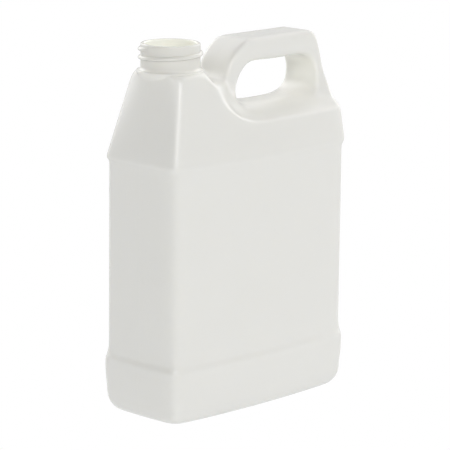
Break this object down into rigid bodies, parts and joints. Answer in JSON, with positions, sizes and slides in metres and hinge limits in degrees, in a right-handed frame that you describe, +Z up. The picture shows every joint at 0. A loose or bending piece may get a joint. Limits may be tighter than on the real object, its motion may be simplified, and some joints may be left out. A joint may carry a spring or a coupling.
{
  "type": "f-style bottle",
  "caption": "White flat-sided plastic jug, empty and open, with a threaded neck at one end and a hand hole at the other.",
  "frame": {"origin": "centre of the jug's box at the level it stands on", "axes": "+Z up to the neck and handle, +X from the neck's end to the handle's end, +Y through the jug from the front wide face to the back one"},
  "size_m": [0.1292, 0.0608, 0.1899],
  "materials": {
    "hdpe_white": "semi-gloss white blow-moulded polyethylene"
  },
  "bodies": {
    "root": {"bottle": "hdpe_white"}
  },
  "joints": []
}
